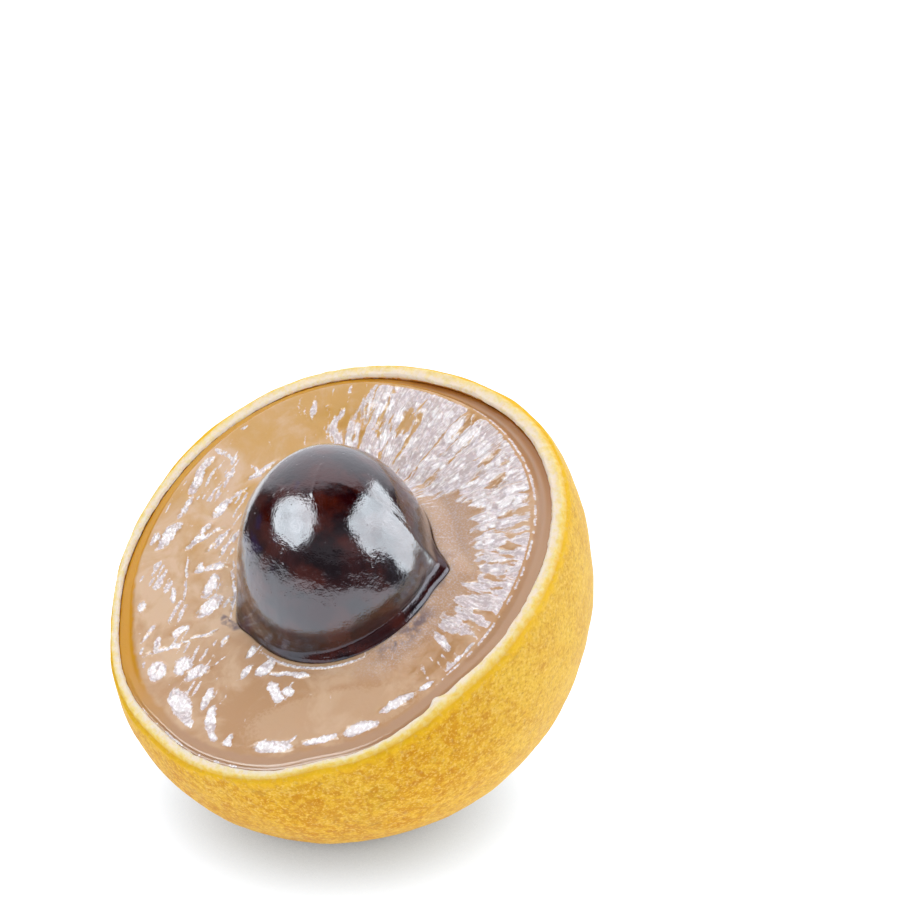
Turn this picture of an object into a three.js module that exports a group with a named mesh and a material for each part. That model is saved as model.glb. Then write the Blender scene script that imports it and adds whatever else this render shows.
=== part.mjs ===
import * as THREE from 'three';

// One half of a longan, cut across: a thin leathery rind cup, the juicy flesh that fills it
// and the whole seed that stands out of the cut. Millimetres, +Z up, with the origin in the
// middle of the flat spot that the rind rests on.
//
// Every piece is worked out in the fruit's own frame: u and v lie in the cut face, w runs
// straight out of it, and zero is on the fruit's axis at its widest girth. The finished fruit
// is then tipped towards -Y, the way an uneven half settles on a table. Bearings go round the
// fruit's axis from u towards v, in degrees where they are written as sizes.

// ---- Driving dimensions ----

const girthRadius = 13.5; // the fruit's widest radius
const poleDepth = 12.6; // from the widest girth down to the stem end
const cutHeight = 3.24; // the cut face, above the widest girth
const rindThickness = 0.8;
const tilt = THREE.MathUtils.degToRad(33.5);
const restDepth = 0.55; // how far the rind gives where it rests
const restRound = 0.12; // half the height over which the flat spot rounds off
const fitGap = 0.15; // clearance between rind and flesh, and between flesh and seed

const bow = { u: -0.4, v: -0.08 }; // sideways bow of the body, halfway down
const rimReach = 0.35; // the share of the depth over which the rim's shape fades out
const scar = { radius: 1.5, width: 0.45, collar: 0.22, hollow: 1.05, dimple: 0.3 };

// The cut rim, outside and inside: how far it has drawn in, and its slow waves, each with
// its lobes round the rim, its size, and the bearing of its first crest times its lobes
const outerRim = {
  drawn: 0.12,
  waves: [
    { lobes: 1, size: 0.2, crest: 45 },
    { lobes: 3, size: 0.25, crest: 107 },
    { lobes: 4, size: 0.07, crest: -142 },
  ],
};
const innerRim = {
  drawn: 0,
  waves: [
    { lobes: 1, size: 0.18, crest: -20 },
    { lobes: 3, size: 0.19, crest: 119 },
    { lobes: 4, size: 0.1, crest: -168 },
  ],
};
// Dents where the knife pushed the rim in: bearing, depth, half-width in degrees
const dents = [
  { bearing: 305, depth: 0.24, width: 8 },
  { bearing: 342, depth: 0.16, width: 9 },
  { bearing: 258, depth: 0.12, width: 9 },
  { bearing: 219, depth: 0.12, width: 10 },
];
// The rim's section, across the rind from outside to inside: share of the way, distance
// below the crest
const rimSection = [
  { share: 0.22, below: 0.08 },
  { share: 0.5, below: 0 },
  { share: 0.95, below: 0.06 },
];
const rimBevel = 0.3; // height of the outside's last ring below the cut

const seed = {
  centre: new THREE.Vector3(1.02, -0.63, 1.26), // middle of its widest girth
  radius: 5.49,
  apex: new THREE.Vector3(0.05, 1.8, 8.23), // from the centre to the top of the dome
  buried: 0.52, // the hidden end's length, as a share of the dome's
  fullness: 2.32, // of the dome: 2 is an ellipsoid, more is squarer
};
const beak = { bearing: 22, reach: 0.85, halfWidth: 11, level: 2.3, above: 3.2, below: 1.6 };

const flesh = {
  level: -0.06, // its face, against the rim's crest
  shoulderWidth: 0.75, // its rounded edge beside the rind
  shoulderDrop: 0.5,
  pitLip: 0.12, // how far it climbs where it grips the seed
};
// Fine furrows that fan out over the face: height, count round it, slant, and the slower
// count that breaks them up
const furrows = { height: 0.035, count: 15, slant: 0.5, broken: 7 };
// Raised folds of the face: bearing, distance from the axis, half-length along the bearing,
// half-width across it, height
const folds = [
  { bearing: 214, reach: 9.4, length: 2.2, width: 0.55, height: 0.22 },
  { bearing: 186, reach: 9.0, length: 1.8, width: 0.6, height: 0.16 },
  { bearing: 247, reach: 9.6, length: 1.5, width: 0.7, height: 0.18 },
  { bearing: 292, reach: 9.8, length: 1.3, width: 0.8, height: 0.15 },
  { bearing: 20, reach: 9.2, length: 2.0, width: 0.55, height: 0.16 },
  { bearing: 62, reach: 9.6, length: 1.8, width: 0.5, height: 0.14 },
];

// ---- Grid of every piece: rings of points, each ring with the same bearings ----

const spokes = 60; // points round a ring, the first on the beak's bearing
const bearings = steps(beak.bearing, beak.bearing + 360, spokes + 1)
  .slice(0, spokes)
  .map((degrees) => THREE.MathUtils.degToRad(degrees));

// Where the rings lie, as angles in radians
const scarAngles = steps(0.04, 0.2, 5);
const skinStart = 0.28;
const skinRings = 17;
const wallAngles = [...steps(0.12, 1.6, 13), 1.72];
const shoulderRings = 5;
const faceRings = 11;
const pitRings = 11;
const seedRings = 19;
const poleAngle = 0.16; // the seed's first ring, from its apex
const pitPoleAngle = 0.2;
const pitTopAngle = 0.12; // the pit's first ring, below its lip

// Evenly spaced steps from one value to another, both ends included
function steps(from, to, count) {
  return Array.from({ length: count }, (_, i) => from + ((to - from) * i) / (count - 1));
}

const smooth = (x) => THREE.MathUtils.smoothstep(x, 0, 1);
const bell = (x) => Math.exp(-x * x);

// Signed difference between a bearing in radians and one in degrees, in degrees
function bearingOff(bearing, degrees) {
  const off = THREE.MathUtils.radToDeg(bearing) - degrees;
  return THREE.MathUtils.euclideanModulo(off + 180, 360) - 180;
}

// One closed mesh from rings that run from one closing point to the other; neighbouring
// rings are joined by pairs of triangles
function closedGeometry(start, rings, end) {
  const points = [start, ...rings.flat(), end];
  const last = points.length - 1;
  const at = (ring, spoke) => 1 + ring * spokes + (spoke % spokes);
  const faces = [];
  for (let spoke = 0; spoke < spokes; spoke += 1) {
    faces.push(0, at(0, spoke + 1), at(0, spoke));
    for (let ring = 0; ring + 1 < rings.length; ring += 1) {
      const [a, b] = [at(ring, spoke), at(ring, spoke + 1)];
      const [c, d] = [at(ring + 1, spoke), at(ring + 1, spoke + 1)];
      faces.push(a, b, d, a, d, c);
    }
    faces.push(last, at(rings.length - 1, spoke), at(rings.length - 1, spoke + 1));
  }
  const geometry = new THREE.BufferGeometry();
  const numbers = points.flatMap((point) => point.toArray());
  geometry.setAttribute('position', new THREE.Float32BufferAttribute(numbers, 3));
  geometry.setIndex(faces);
  geometry.computeVertexNormals();
  return geometry;
}

// ---- Rest ----

const sinTilt = Math.sin(tilt);
const cosTilt = Math.cos(tilt);
const lowest = Math.hypot(girthRadius * sinTilt, poleDepth * cosTilt);
const axisHeight = lowest - restDepth;
const axisShift = ((girthRadius ** 2 - poleDepth ** 2) * sinTilt * cosTilt) / lowest;

// Lifts a point that would sink below a level over the table straight up onto that level,
// with a small round between the free surface and the flat
function settle(point, level) {
  const height = axisHeight + point.y * sinTilt + point.z * cosTilt - level;
  if (height > restRound) return point;
  const eased = height < -restRound ? 0 : (height + restRound) ** 2 / (4 * restRound);
  const lift = eased - height;
  return point.add(new THREE.Vector3(0, lift * sinTilt, lift * cosTilt));
}

// ---- Body of the fruit ----

// The angle up from the stem end at which the body, inset from its skin, meets a height
const angleAt = (inset, height) => Math.acos(-height / (poleDepth - inset));

// How far the rim stands out of a plain circle at a bearing
function rimShape(rim, bearing) {
  const dented = dents.reduce((sum, dent) =>
    sum + dent.depth * bell(bearingOff(bearing, dent.bearing) / dent.width), rim.drawn);
  return rim.waves.reduce((sum, wave) => {
    const crest = THREE.MathUtils.degToRad(wave.crest);
    return sum + wave.size * Math.cos(wave.lobes * bearing - crest);
  }, -dented);
}

// A point of the fruit's body, inset from its outer skin, at an angle up from the stem end
// (0) through the girth (a quarter turn) and at a bearing round the axis
function bodyPoint(angle, bearing, inset, rim) {
  const height = -(poleDepth - inset) * Math.cos(angle);
  const depth = THREE.MathUtils.clamp((cutHeight - height) / (cutHeight + poleDepth), 0, 1);
  const nearRim = 1 - smooth(depth / rimReach);
  const radius = (girthRadius - inset) * Math.sin(angle) + nearRim * rimShape(rim, bearing);
  const lean = Math.sin(Math.PI * depth);
  return new THREE.Vector3(
    radius * Math.cos(bearing) + lean * bow.u,
    radius * Math.sin(bearing) + lean * bow.v,
    height,
  );
}

// Ring of body points at one angle, settled on the table at the same inset from it
function bodyRing(angle, inset, rim) {
  return bearings.map((bearing) => settle(bodyPoint(angle, bearing, inset, rim), inset));
}

// ---- Rind ----

// The stem scar: a low collar round a shallow dimple where the stalk let go
function scarRelief(radius) {
  const collar = scar.collar * bell((radius - scar.radius) / scar.width);
  const dimple = scar.dimple * bell(radius / scar.hollow);
  return dimple - collar;
}

function rindOutside() {
  const top = angleAt(0, cutHeight - rimBevel);
  const angles = [...scarAngles, ...steps(skinStart, top, skinRings)];
  return angles.map((angle) => bodyRing(angle, 0, outerRim).map((point) => {
    point.z += scarRelief(girthRadius * Math.sin(angle));
    return point;
  }));
}

// The cut edge: a rounded outer corner, the crest and the inner corner
function rindRim() {
  const outer = angleAt(0, cutHeight);
  const inner = angleAt(rindThickness, cutHeight);
  return rimSection.map(({ share, below }) => bearings.map((bearing) => {
    const outside = bodyPoint(outer, bearing, 0, outerRim);
    const inside = bodyPoint(inner, bearing, rindThickness, innerRim);
    const point = outside.lerp(inside, share);
    point.z -= below;
    return point;
  }));
}

function rindInside() {
  return [...wallAngles].reverse().map((angle) => bodyRing(angle, rindThickness, innerRim));
}

function buildRind() {
  const outerPole = bodyPoint(0, 0, 0, outerRim);
  outerPole.z += scarRelief(0);
  const innerPole = bodyPoint(0, 0, rindThickness, innerRim);
  return closedGeometry(outerPole, [...rindOutside(), ...rindRim(), ...rindInside()], innerPole);
}

// ---- Seed ----

// How far the beak stands out of the seed's side: sharp across, fading up the dome
function beakRelief(bearing, height) {
  const across = Math.abs(bearingOff(bearing, beak.bearing)) / beak.halfWidth;
  const rise = height - beak.level;
  const along = bell(rise / (rise > 0 ? beak.above : beak.below));
  return beak.reach * along * Math.exp(-across);
}

// A point of the seed, grown outwards, at an angle down from its apex and at a bearing. The
// seed leans: its rings stay level with the cut and slide along the line to the apex.
function seedPoint(angle, bearing, grow) {
  const power = 2 / seed.fullness;
  const across = Math.abs(Math.sin(angle)) ** power;
  const along = Math.abs(Math.cos(angle)) ** power;
  const end = Math.cos(angle) < 0 ? -seed.buried : 1;
  const reach = end * (1 + grow / seed.apex.length());
  const point = seed.centre.clone().addScaledVector(seed.apex, along * reach);
  const radius = across * (seed.radius + grow + beakRelief(bearing, point.z));
  point.x += radius * Math.cos(bearing);
  point.y += radius * Math.sin(bearing);
  return point;
}

// Angle down from the apex at which the seed's side crosses a height above its girth
function seedAngleAt(height) {
  const share = (height - seed.centre.z) / seed.apex.z;
  return Math.acos(share ** (seed.fullness / 2));
}

const seedRing = (angle, grow) => bearings.map((bearing) => seedPoint(angle, bearing, grow));

function buildSeed() {
  const angles = steps(Math.PI - poleAngle, poleAngle, seedRings);
  const rings = angles.map((angle) => seedRing(angle, 0));
  return closedGeometry(seedPoint(Math.PI, 0, 0), rings, seedPoint(0, 0, 0));
}

// ---- Flesh ----

const fleshInset = rindThickness + fitGap;
const fleshTop = cutHeight + flesh.level;

// Height of the cut face above its level: the furrows and the folds
function fleshRelief(point) {
  const bearing = Math.atan2(point.y, point.x);
  const radius = Math.hypot(point.x, point.y);
  const fan = Math.cos(furrows.count * bearing + furrows.slant * radius);
  const broken = Math.cos(furrows.broken * bearing);
  return folds.reduce((sum, fold) => {
    const off = THREE.MathUtils.degToRad(bearingOff(bearing, fold.bearing)) * radius;
    const along = bell((radius - fold.reach) / fold.length);
    return sum + fold.height * along * bell(off / fold.width);
  }, furrows.height * fan * broken);
}

// The rounded edge, a quarter round from the rind's wall up to the face
function fleshShoulder() {
  const wall = angleAt(rindThickness, cutHeight);
  return steps(0, Math.PI / 2, shoulderRings).map((turn) => bearings.map((bearing) => {
    const edge = bodyPoint(wall, bearing, fleshInset, innerRim);
    const radius = Math.hypot(edge.x, edge.y) - flesh.shoulderWidth * (1 - Math.cos(turn));
    const height = fleshTop - flesh.shoulderDrop * (1 - Math.sin(turn));
    return new THREE.Vector3(radius * Math.cos(bearing), radius * Math.sin(bearing), height);
  }));
}

// The face, from the inner end of the shoulder to the lip that grips the seed. Its relief
// dies away at both ends.
function fleshFace(edge) {
  const lip = seedRing(seedAngleAt(fleshTop), fitGap);
  return steps(0, 1, faceRings).slice(1).map((share) => edge.map((outer, i) => {
    const point = outer.clone().lerp(lip[i], share);
    const relief = smooth(6 * share) * smooth(5 * (1 - share)) * fleshRelief(point);
    point.z = fleshTop + relief + flesh.pitLip * smooth(4 * share - 3);
    return point;
  }));
}

function fleshPit() {
  const top = seedAngleAt(fleshTop) + pitTopAngle;
  return steps(top, Math.PI - pitPoleAngle, pitRings).map((angle) => seedRing(angle, fitGap));
}

function buildFlesh() {
  const outside = wallAngles.map((angle) => bodyRing(angle, fleshInset, innerRim));
  const edge = fleshShoulder();
  const face = fleshFace(edge[edge.length - 1]);
  const rings = [...outside, ...edge, ...face, ...fleshPit()];
  return closedGeometry(
    bodyPoint(0, 0, fleshInset, innerRim),
    rings,
    seedPoint(Math.PI, 0, fitGap),
  );
}

// ---- The fruit ----

function piece(name, geometry, color, roughness) {
  const material = new THREE.MeshStandardMaterial({ color, roughness, metalness: 0 });
  const mesh = new THREE.Mesh(geometry, material);
  mesh.name = name;
  return mesh;
}

const fruit = new THREE.Group();
fruit.rotation.x = tilt;
fruit.position.set(0, axisShift, axisHeight);
fruit.add(piece('rind', buildRind(), 0xd99a34, 0.7));
fruit.add(piece('flesh', buildFlesh(), 0xcfa67c, 0.25));
fruit.add(piece('seed', buildSeed(), 0x2a1013, 0.15));

export default fruit;
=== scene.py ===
import math

import bpy
import numpy as np
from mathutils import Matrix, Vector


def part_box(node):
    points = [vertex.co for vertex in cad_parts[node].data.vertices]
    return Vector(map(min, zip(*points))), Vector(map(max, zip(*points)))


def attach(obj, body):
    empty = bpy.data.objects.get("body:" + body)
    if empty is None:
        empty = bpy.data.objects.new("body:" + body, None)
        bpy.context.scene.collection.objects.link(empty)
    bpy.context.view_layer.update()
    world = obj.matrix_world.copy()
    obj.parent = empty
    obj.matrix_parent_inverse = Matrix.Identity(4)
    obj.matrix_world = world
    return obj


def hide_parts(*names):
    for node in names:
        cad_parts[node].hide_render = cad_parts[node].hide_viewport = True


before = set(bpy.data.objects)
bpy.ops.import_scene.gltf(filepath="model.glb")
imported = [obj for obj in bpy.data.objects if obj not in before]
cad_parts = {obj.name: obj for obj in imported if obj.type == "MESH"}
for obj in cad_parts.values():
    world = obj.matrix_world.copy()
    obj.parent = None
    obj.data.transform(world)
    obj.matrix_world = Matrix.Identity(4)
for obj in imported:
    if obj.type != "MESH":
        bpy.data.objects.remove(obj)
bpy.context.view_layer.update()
print("frame loaded")

mm = 0.001
tau = 2 * math.pi


def smooth(low, high, x):
    # eases from 0 at low to 1 at high, flat at both ends
    t = np.clip((x - low) / (high - low), 0, 1)
    return t * t * (3 - 2 * t)


def bell(x):
    return np.exp(-x * x)


def turnOff(bearing, degrees):
    # signed difference between a bearing in radians and one in degrees, in degrees
    return (np.degrees(bearing) - degrees + 180) % 360 - 180


def arc(bearing, start, end, soft=8.0):
    # 1 between two bearings, going up from start to end, fading over soft degrees
    middle, half = (start + end) / 2, (end - start) / 2
    return 1 - smooth(half - soft / 2, half + soft / 2, np.abs(turnOff(bearing, middle)))


def latticeValue(i, j, k, seed):
    # repeatable random number from -1 to 1 for every whole-number cell
    n = i.astype(np.uint32) * np.uint32(374761393)
    n = n + j.astype(np.uint32) * np.uint32(668265263)
    n = n + k.astype(np.uint32) * np.uint32(2246822519)
    n = n + np.uint32(seed) * np.uint32(3266489917)
    n = (n ^ (n >> np.uint32(15))) * np.uint32(2246822519)
    n = (n ^ (n >> np.uint32(13))) * np.uint32(3266489917)
    n = n ^ (n >> np.uint32(16))
    return n.astype(np.float64) / 2147483648.0 - 1.0


def noise(x, y, z, seed):
    # value noise: the eight corners of a cell mixed with an eased share of each side
    x, y, z = np.broadcast_arrays(x, y, z)
    xi, yi, zi = np.floor(x), np.floor(y), np.floor(z)
    fx, fy, fz = x - xi, y - yi, z - zi
    fx, fy, fz = (f * f * f * (f * (f * 6 - 15) + 10) for f in (fx, fy, fz))
    xi, yi, zi = (c.astype(np.int64) for c in (xi, yi, zi))
    total = 0.0
    for dx in (0, 1):
        for dy in (0, 1):
            for dz in (0, 1):
                share = np.abs(1 - dx - fx) * np.abs(1 - dy - fy) * np.abs(1 - dz - fz)
                total = total + share * latticeValue(xi + dx, yi + dy, zi + dz, seed)
    return total


def cloud(x, y, z, size, seed, octaves=3):
    # noise at one size plus finer, weaker copies of it
    total, weight, share = 0.0, 0.0, 1.0
    for octave in range(octaves):
        scale = 2.0**octave / size
        total = total + share * noise(x * scale, y * scale, z * scale, seed + octave)
        weight += share
        share *= 0.5
    return total / weight


# The fruit's own frame, in millimetres: u and v lie in the cut face and w points straight
# out of it, with zero on the fruit's axis at its widest girth. Bearings go round the axis
# from u towards v.
low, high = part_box("rind")
fruit = {
    "girth": round((high.x - low.x) / 2 / mm, 1),  # widest radius
    "poleDepth": 12.6,  # from the girth to the stem end
    "cutHeight": 3.24,
    "rindThickness": 0.8,
    "tilt": math.radians(33.5),  # of the cut face, towards -Y
    "restDepth": 0.55,  # how far the rind gives on the table
    "restRound": 0.12,
    "bow": (-0.4, -0.08),  # sideways bow of the body, halfway down
    "rimReach": 0.35,  # share of the depth over which the rim's shape fades out
}
rimWaves = {  # drawn in by, then lobes, size and crest bearing times lobes
    "outer": (0.12, ((1, 0.2, 45), (3, 0.25, 107), (4, 0.07, -142))),
    "inner": (0.0, ((1, 0.18, -20), (3, 0.19, 119), (4, 0.1, -168))),
}
rimDents = ((305, 0.24, 8), (342, 0.16, 9), (258, 0.12, 9), (219, 0.12, 10))

sinTilt, cosTilt = math.sin(fruit["tilt"]), math.cos(fruit["tilt"])
lowestPoint = math.hypot(fruit["girth"] * sinTilt, fruit["poleDepth"] * cosTilt)
axisHeight = lowestPoint - fruit["restDepth"]
axisShift = (fruit["girth"] ** 2 - fruit["poleDepth"] ** 2) * sinTilt * cosTilt / lowestPoint


def toWorld(point):
    # tips the fruit's frame towards -Y, lifts it onto the table and turns it into metres
    u, v, w = point[..., 0], point[..., 1], point[..., 2]
    y = axisShift + v * cosTilt - w * sinTilt
    z = axisHeight + v * sinTilt + w * cosTilt
    return np.stack([u, y, z], -1) * mm


# The view, in degrees and millimetres. The marks on the cut face are placed in it, in pixels
# of a square frame, counted from its upper left corner.
viewLook = {
    "frame": 900,
    "lens": 100,
    "sensor": 36,
    "azimuth": 40.34,
    "elevation": 25.0,
    "distance": 133.2,  # from the fruit's axis, along the view
    "aimRight": 5.47,
    "aimUp": 7.55,
}


def direction(azimuth, elevation):
    # unit vector towards an azimuth, turned from -Y towards +X, and an elevation, in degrees
    azimuth, elevation = math.radians(azimuth), math.radians(elevation)
    level = math.cos(elevation)
    return np.array([math.sin(azimuth) * level, -math.cos(azimuth) * level, math.sin(elevation)])


def aimAway(back):
    # matrix that turns a light or camera so that it looks against back
    right = np.cross((0, 0, 1), back)
    right = right / np.linalg.norm(right)
    matrix = np.eye(4)
    matrix[:3, 0], matrix[:3, 1], matrix[:3, 2] = right, np.cross(back, right), back
    return matrix


def viewMatrix(look):
    back = direction(look["azimuth"], look["elevation"])
    matrix = aimAway(back)
    offset = matrix[:3, 0] * look["aimRight"] + matrix[:3, 1] * look["aimUp"]
    matrix[:3, 3] = toWorld(np.zeros(3)) + (offset + back * look["distance"]) * mm
    return matrix


def onFace(x, y, level, look):
    # u and v where the line of sight through a pixel meets a level over the girth
    matrix = viewMatrix(look)
    middle = look["frame"] / 2
    pixel = look["sensor"] / look["lens"] / look["frame"]
    sight = matrix[:3, 0] * (x - middle) + matrix[:3, 1] * (middle - y)
    sight = sight * pixel - matrix[:3, 2]
    eye = matrix[:3, 3] / mm - (0, axisShift, axisHeight)
    alongV, alongW = np.array([0, cosTilt, sinTilt]), np.array([0, -sinTilt, cosTilt])
    place = eye + sight * (level - eye @ alongW) / (sight @ alongW)
    return np.array([place[0], place @ alongV])


def settle(point, level):
    # lifts what would sink below a level over the table straight up onto that level
    u, v, w = point[..., 0], point[..., 1], point[..., 2]
    soft = fruit["restRound"]
    height = axisHeight + v * sinTilt + w * cosTilt - level
    eased = np.where(height < -soft, 0, (height + soft) ** 2 / (4 * soft))
    lift = np.where(height > soft, 0, eased - height)
    return np.stack([u, v + lift * sinTilt, w + lift * cosTilt], -1)


def rimShape(rim, bearing):
    # how far the rim stands out of a plain circle: slow waves, less the dents
    drawn, waves = rimWaves[rim]
    total = -drawn + 0 * bearing
    for lobes, size, crest in waves:
        total = total + size * np.cos(lobes * bearing - math.radians(crest))
    for where, depth, width in rimDents:
        total = total - depth * bell(turnOff(bearing, where) / width)
    return total


def bodyPoint(angle, bearing, inset, rim):
    # a spheroid turned about w, angle up from the stem end, bowed sideways in the middle
    # of its depth, its radius taking on the rim's shape over the top of the depth
    height = -(fruit["poleDepth"] - inset) * np.cos(angle)
    span = fruit["cutHeight"] + fruit["poleDepth"]
    depth = np.clip((fruit["cutHeight"] - height) / span, 0, 1)
    nearRim = 1 - smooth(0, 1, depth / fruit["rimReach"])
    radius = (fruit["girth"] - inset) * np.sin(angle) + nearRim * rimShape(rim, bearing)
    lean = np.sin(np.pi * depth)
    u = radius * np.cos(bearing) + lean * fruit["bow"][0]
    v = radius * np.sin(bearing) + lean * fruit["bow"][1]
    return np.stack([u, v, height + 0 * bearing], -1)


def angleAt(inset, height):
    # angle up from the stem end at which the body, inset from its skin, meets a height
    return math.acos(-height / (fruit["poleDepth"] - inset))


def grid(rings, spokes):
    # ring values down, bearings across
    bearing = np.linspace(0, tau, spokes, endpoint=False)
    return np.meshgrid(np.asarray(rings, float), bearing, indexing="ij")


def normals(points):
    # unit normals of a closed-round grid, from the differences along and across its rings
    along = np.gradient(points, axis=0)
    across = np.roll(points, -1, 1) - np.roll(points, 1, 1)
    out = np.cross(across, along)
    return out / np.maximum(np.linalg.norm(out, axis=-1, keepdims=True), 1e-12)


def closedPiece(name, points, start, end, values):
    # one closed mesh from a grid of rings with a point closing each end; values are numbers
    # for the material, one per grid point
    rings, spokes = points.shape[:2]
    verts = np.vstack([start[None], points.reshape(-1, 3), end[None]])
    at = 1 + np.arange(rings * spokes).reshape(rings, spokes)
    beside = np.roll(at, -1, 1)
    quads = np.stack([at[:-1], beside[:-1], beside[1:], at[1:]], -1).reshape(-1, 4)
    last = len(verts) - 1
    first = np.stack([np.zeros(spokes, int), beside[0], at[0]], -1)
    closing = np.stack([np.full(spokes, last), at[-1], beside[-1]], -1)
    mesh = bpy.data.meshes.new(name)
    mesh.from_pydata(toWorld(verts), [], [*first.tolist(), *quads.tolist(), *closing.tolist()])
    for label, value in values.items():
        value = np.broadcast_to(value, (rings, spokes)).reshape(-1)
        ends = (value[:spokes].mean(), value[-spokes:].mean())
        attribute = mesh.attributes.new(label, "FLOAT", "POINT")
        data = np.concatenate([[ends[0]], value, [ends[1]]]).astype(np.float32)
        attribute.data.foreach_set("value", data)
    mesh.shade_smooth()
    piece = bpy.data.objects.new(name, mesh)
    bpy.context.scene.collection.objects.link(piece)
    return piece


class Nodes:
    # writes a node tree in short lines: add makes a node, sets its sockets and links inputs
    def __init__(self, name):
        self.material = bpy.data.materials.new(name)
        self.material.use_nodes = True
        self.tree = self.material.node_tree
        self.tree.nodes.clear()
        self.output = self.tree.nodes.new("ShaderNodeOutputMaterial")
        self.place = self.add("TexCoord").outputs["Object"]

    def add(self, kind, settings=None, **inputs):
        node = self.tree.nodes.new("ShaderNode" + kind)
        for key, value in (settings or {}).items():
            setattr(node, key, value)
        for key, value in inputs.items():
            numbered = key[0] == "n" and key[1:].isdigit()
            self.put(node.inputs[int(key[1:]) if numbered else key.replace("_", " ")], value)
        return node

    def put(self, socket, value):
        if isinstance(value, bpy.types.NodeSocket):
            self.tree.links.new(value, socket)
        else:
            socket.default_value = value

    def attribute(self, name):
        return self.add("Attribute", {"attribute_name": name}).outputs["Fac"]

    def math(self, operation, a, b=0.0, clamp=False):
        settings = {"operation": operation, "use_clamp": clamp}
        return self.add("Math", settings, n0=a, n1=b).outputs[0]

    def range(self, value, low, high, toLow=0.0, toHigh=1.0):
        # eases from toLow to toHigh as value goes from low to high
        node = self.add("MapRange", {"interpolation_type": "SMOOTHSTEP"}, n0=value)
        for index, number in zip((1, 2, 3, 4), (low, high, toLow, toHigh)):
            node.inputs[index].default_value = number
        return node.outputs[0]

    def mix(self, share, a, b, blend="MIX"):
        node = self.add("Mix", {"data_type": "RGBA", "blend_type": blend})
        self.put(node.inputs[0], share)
        self.put(node.inputs[6], a)
        self.put(node.inputs[7], b)
        return node.outputs[2]

    def noise(self, size, detail=3.0, rough=0.55, place=None, warp=0.0):
        # size is the pattern's size in millimetres
        node = self.add("TexNoise", Detail=detail, Roughness=rough, Distortion=warp)
        node.inputs["Scale"].default_value = 1 / (size * mm)
        self.tree.links.new(place or self.place, node.inputs["Vector"])
        return node.outputs["Fac"]

    def bump(self, height, distance, strength=1.0, normal=None):
        # distance is the height of the relief in millimetres
        node = self.add("Bump", Strength=strength, Distance=distance * mm, Height=height)
        if normal:
            self.tree.links.new(normal, node.inputs["Normal"])
        return node.outputs["Normal"]

    def surface(self, **inputs):
        shader = self.add("BsdfPrincipled", **inputs)
        self.tree.links.new(shader.outputs["BSDF"], self.output.inputs["Surface"])
        return shader


def colour(red, green, blue):
    # a colour picked on screen, 0 to 255, as the linear value a shader takes
    def linear(c):
        c = c / 255
        return c / 12.92 if c <= 0.04045 else ((c + 0.055) / 1.055) ** 2.4

    return (linear(red), linear(green), linear(blue), 1.0)


rindLook = {
    "spokes": 600,
    "skinRings": 104,
    "edgeRings": 30,
    "wallRings": 24,
    "pores": (0.012, 0.4),  # depth and size of the skin's fine unevenness
    "lumps": (0.08, 2.2),  # and of its slow one
    "bevel": 0.3,  # height of the rounded outer edge
    "edgeRough": 0.06,  # roughness of the cut edge
    "edgeSway": ((8, 0.05, 23), (30, 0.06, 25)),  # its wander: how often, how far, draw
    "edgeWaves": ((3, 0.06, 1), (5, 0.04, 2)),  # its rise and fall: lobes, height, turn
    "innerDrop": 0.14,  # how far its inner corner is rounded down
    "toothRise": 0.08,
    "tooth": (337, 0.4, 1.7),  # bearing, size and half-width of the torn tooth on the edge
    "scar": {"radius": 1.5, "width": 0.45, "collar": 0.22, "hollow": 1.05, "dimple": 0.3},
    "yellow": colour(220, 158, 6),
    "ochre": colour(204, 134, 6),
    "brown": colour(186, 110, 34),
    "olive": colour(194, 152, 30),
    "bright": colour(238, 190, 58),
    "speck": colour(176, 116, 40),
    "fleck": colour(246, 208, 112),
    # painted light: straw tint for the side painted as lit
    "litSideStraw": colour(226, 184, 96),
    "lemon": colour(240, 188, 26),
    "edgeYellow": colour(236, 192, 78),
    "edgePale": colour(240, 212, 136),
    "edgeCream": colour(242, 222, 200),
    "wall": colour(226, 166, 60),
}


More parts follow.
